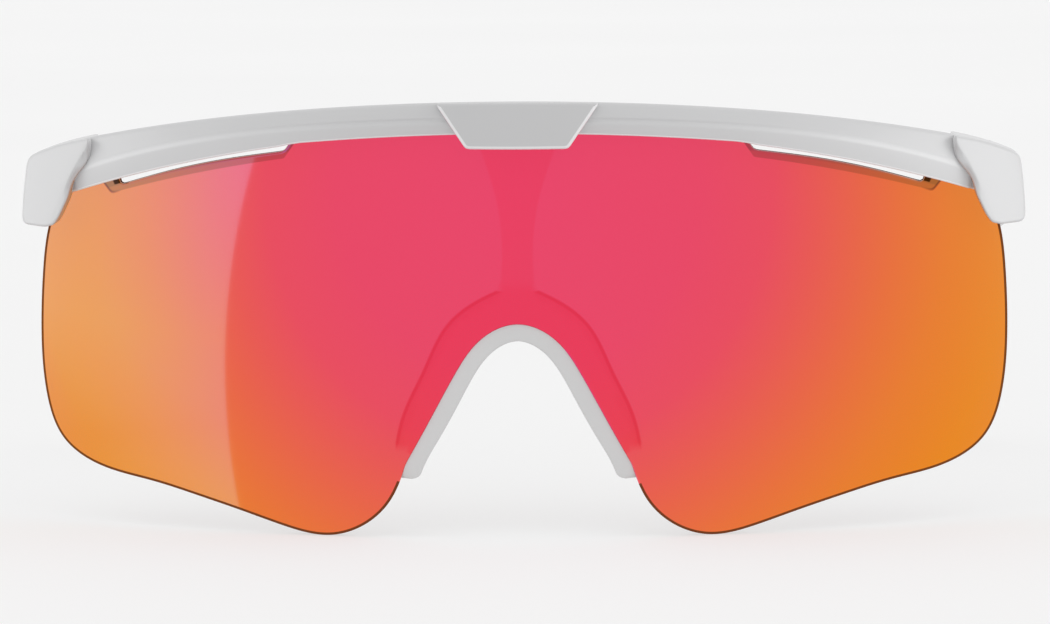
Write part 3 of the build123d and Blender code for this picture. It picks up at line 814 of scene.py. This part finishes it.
def spread(stations, s):
    """Interpolate (position, values...) rows at s."""
    rows = np.array(stations, float)
    return [float(np.interp(s, rows[:, 0], rows[:, k])) for k in range(1, rows.shape[1])]


def arm_section(s):
    w, h, r = spread([(ARM_START, 4.5, 9.7, 2.2), (8, 4.5, 9.6, 2.0), (20, 4.4, 9.4, 1.7),
                      (36, 4.1, 8.9, 1.5), (54, 3.8, 8.3, 1.4), (STRAIGHT, 3.8, 7.8, 1.4)], s)
    ridge = h * 0.12
    corners = [(w / 2 - 0.35, -h / 2), (w / 2, ridge), (w / 2 - 0.35, h / 2), (-w / 2, h / 2),
               (-w / 2, -h / 2)]
    return arm_points(s, rounded(corners, (r, 0.8, r, 1.2, 1.2), 6))


def sock_section(s):
    w, h, r = spread([(STRAIGHT, 4.8, 8.8, 1.8), (78, 5.2, 9.2, 2.0), (86, 5.4, 9.4, 2.2),
                      (94, 5.5, 9.4, 2.2), (102, 5.5, 9.2, 2.2), (110, 5.4, 8.8, 2.2),
                      (TIP_END - 5, 5.0, 8.0, 2.2), (TIP_END - 1.6, 4.0, 6.2, 1.9),
                      (TIP_END - 0.5, 2.9, 4.4, 1.4), (TIP_END, 1.4, 2.4, 0.6)], s)
    if s < 72.6:                                      # the mouth is chamfered
        w, h = w - (72.6 - s), h - (72.6 - s)
    if GRIP_START < s < GRIP_END:                     # a row of shallow grip grooves
        along = (s - GRIP_START) / (GRIP_END - GRIP_START)
        w -= 0.28 * max(0.0, sin(along * pi * GRIP_WAVES))**2
    corners = [(w / 2, -h / 2), (w / 2, h / 2), (-w / 2, h / 2), (-w / 2, -h / 2)]
    return arm_points(s, rounded(corners, [r] * 4, 7))


arms = []
for flip, side in ((False, "left"), (True, "right")):
    body = side + "_temple"
    arm = loft(side + "_arm_shell", [arm_section(s) for s in np.linspace(ARM_START, STRAIGHT + 0.5, 150)],
               [WHITE], flip=flip)
    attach(arm, body)
    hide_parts(side + "_temple_arm")
    arms.append(arm)
    sock = loft(side + "_sock_soft", [sock_section(s) for s in np.linspace(STRAIGHT, TIP_END, 260)], [SOCK],
                sharp=60.0, flip=flip)
    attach(sock, body)
    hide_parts(side + "_ear_sock")


# ---------------- metal parts and washers keep their CAD shapes ----------------

for node, material in (("hinge_leaf", STEEL), ("temple_leaf", STEEL), ("core_wire", STEEL),
                       ("hinge_pin", SCREW), ("leaf_screws", SCREW), ("corner_screw", SCREW),
                       ("temple_rivets", SCREW), ("hinge_washers", WASHER)):
    for side in ("left", "right"):
        for slot in bpy.data.objects[side + "_" + node].material_slots:
            slot.material = material
for slot in bpy.data.objects["bridge_screw"].material_slots:
    slot.material = SCREW


# ---------------- stage, lights and camera ----------------

def quad(name, corners, material):
    mesh = bpy.data.meshes.new(name)
    mesh.from_pydata(corners, [], [(0, 1, 2, 3)])
    mesh.materials.append(material)
    obj = bpy.data.objects.new(name, mesh)
    bpy.context.scene.collection.objects.link(obj)
    return obj


FLOOR_GLOW, WORLD_LIGHT, PANEL_LIGHT = 0.592, 0.98, 3.4

# the floor glows a little, so that shadows on it stay faint
paper, nt, b = new_material("paper")
grain = texture(nt, 2.0).outputs["Fac"]
nt.links.new(ramp(nt, grain, [(0.3, (0.30, 0.30, 0.30)), (0.7, (0.31, 0.31, 0.31))]), b.inputs["Base Color"])
nt.links.new(ramp(nt, grain, [(0.3, (0.99, 0.99, 0.99)), (0.7, (1.0, 1.0, 1.0))]), b.inputs["Emission Color"])
b.inputs["Emission Strength"].default_value = FLOOR_GLOW
b.inputs["Roughness"].default_value = 0.9
b.inputs["Specular IOR Level"].default_value = 0.1
floor = quad("floor", [(-12, -12, 0), (12, -12, 0), (12, 12, 0), (-12, 12, 0)], paper)

world = bpy.data.worlds.new("studio")
bpy.context.scene.world = world
world.use_nodes = True
world.node_tree.nodes["Background"].inputs["Color"].default_value = (1, 1, 1, 1)
world.node_tree.nodes["Background"].inputs["Strength"].default_value = WORLD_LIGHT


def light(name, kind, at, aim, receivers, **settings):
    """A light that reaches only the given objects."""
    data = bpy.data.lights.new(name, kind)
    for key, value in settings.items():
        setattr(data, key, value)
    obj = bpy.data.objects.new(name, data)
    obj.location = at
    obj.rotation_euler = (Vector(aim) - Vector(at)).to_track_quat("-Z", "Y").to_euler()
    bpy.context.scene.collection.objects.link(obj)
    group = bpy.data.collections.new(name + "_receivers")
    for receiver in receivers:
        group.objects.link(receiver)
    obj.light_linking.receiver_collection = group
    return obj


# a tall panel on the viewer's left, seen only as a reflection in the lens
WIDTH, HEIGHT, MIDDLE = 1.297, 2.4, -0.0485
panel = light("left_panel", "AREA", (-1.2, MIDDLE, 0.1), (0, MIDDLE, 0.1), [lens], shape="RECTANGLE",
              size=WIDTH, size_y=HEIGHT, energy=PANEL_LIGHT * WIDTH * HEIGHT * pi, use_nodes=True)
panel.visible_diffuse = False
nt = panel.data.node_tree
split = add(nt, "ShaderNodeSeparateXYZ")
nt.links.new(add(nt, "ShaderNodeNewGeometry").outputs["Position"], split.inputs["Vector"])
along = to_range(nt, split.outputs["Y"], 0.0, 0.8, MIDDLE - WIDTH / 2, MIDDLE + WIDTH / 2)
down = to_range(nt, split.outputs["Z"], 0.0, 0.4, 0.06, -0.185)
glow = ramp(nt, math(nt, "ADD", along, down), [
    (0.0, (0.015, 0.325, 0.42)), (0.104, (0.012, 0.285, 0.52)), (0.24, (0.01, 0.25, 0.60)),
    (0.416, (0.01, 0.20, 0.70)), (0.624, (0.012, 0.135, 0.62)), (0.744, (0.008, 0.104, 0.50)),
    (0.9, (0.003, 0.047, 0.32)), (1.0, (0.0, 0.03, 0.22))])
nt.links.new(glow, nt.nodes["Emission"].inputs["Color"])

# two soft lights from the sides brighten the white mouldings towards the corners
mouldings = [brow, cover] + blocks + arms
for name, azimuth, strength in (("right_side", 92.0, 1.33), ("left_side", -100.0, 0.92)):
    a, e = radians(azimuth), radians(8.0)
    at = Vector((sin(a) * cos(e), -cos(a) * cos(e), sin(e))) * 2.0
    light(name, "SUN", at, (0, 0, 0), mouldings, energy=strength, angle=radians(50.0))

# the lens should not mirror the mouldings
for obj in [brow, cover] + blocks:
    obj.visible_glossy = False
floor.visible_glossy = False

FOCAL_LENGTH, ROLL = 246.386, -0.0043
eye, aim = place((24.0, -1059.29, 99.29)), place((0.512, -62.0, 29.532))
camera = bpy.data.cameras.new("camera")
camera.sensor_width = 36.0
camera.lens = FOCAL_LENGTH
camera.clip_start, camera.clip_end = 0.05, 60.0
cam = bpy.data.objects.new("camera", camera)
cam.location = eye
cam.rotation_euler = ((aim - eye).to_track_quat("-Z", "Y") @ Quaternion((0, 0, 1), ROLL)).to_euler()
bpy.context.scene.collection.objects.link(cam)
bpy.context.scene.camera = cam
bpy.context.scene.view_settings.view_transform = "Standard"
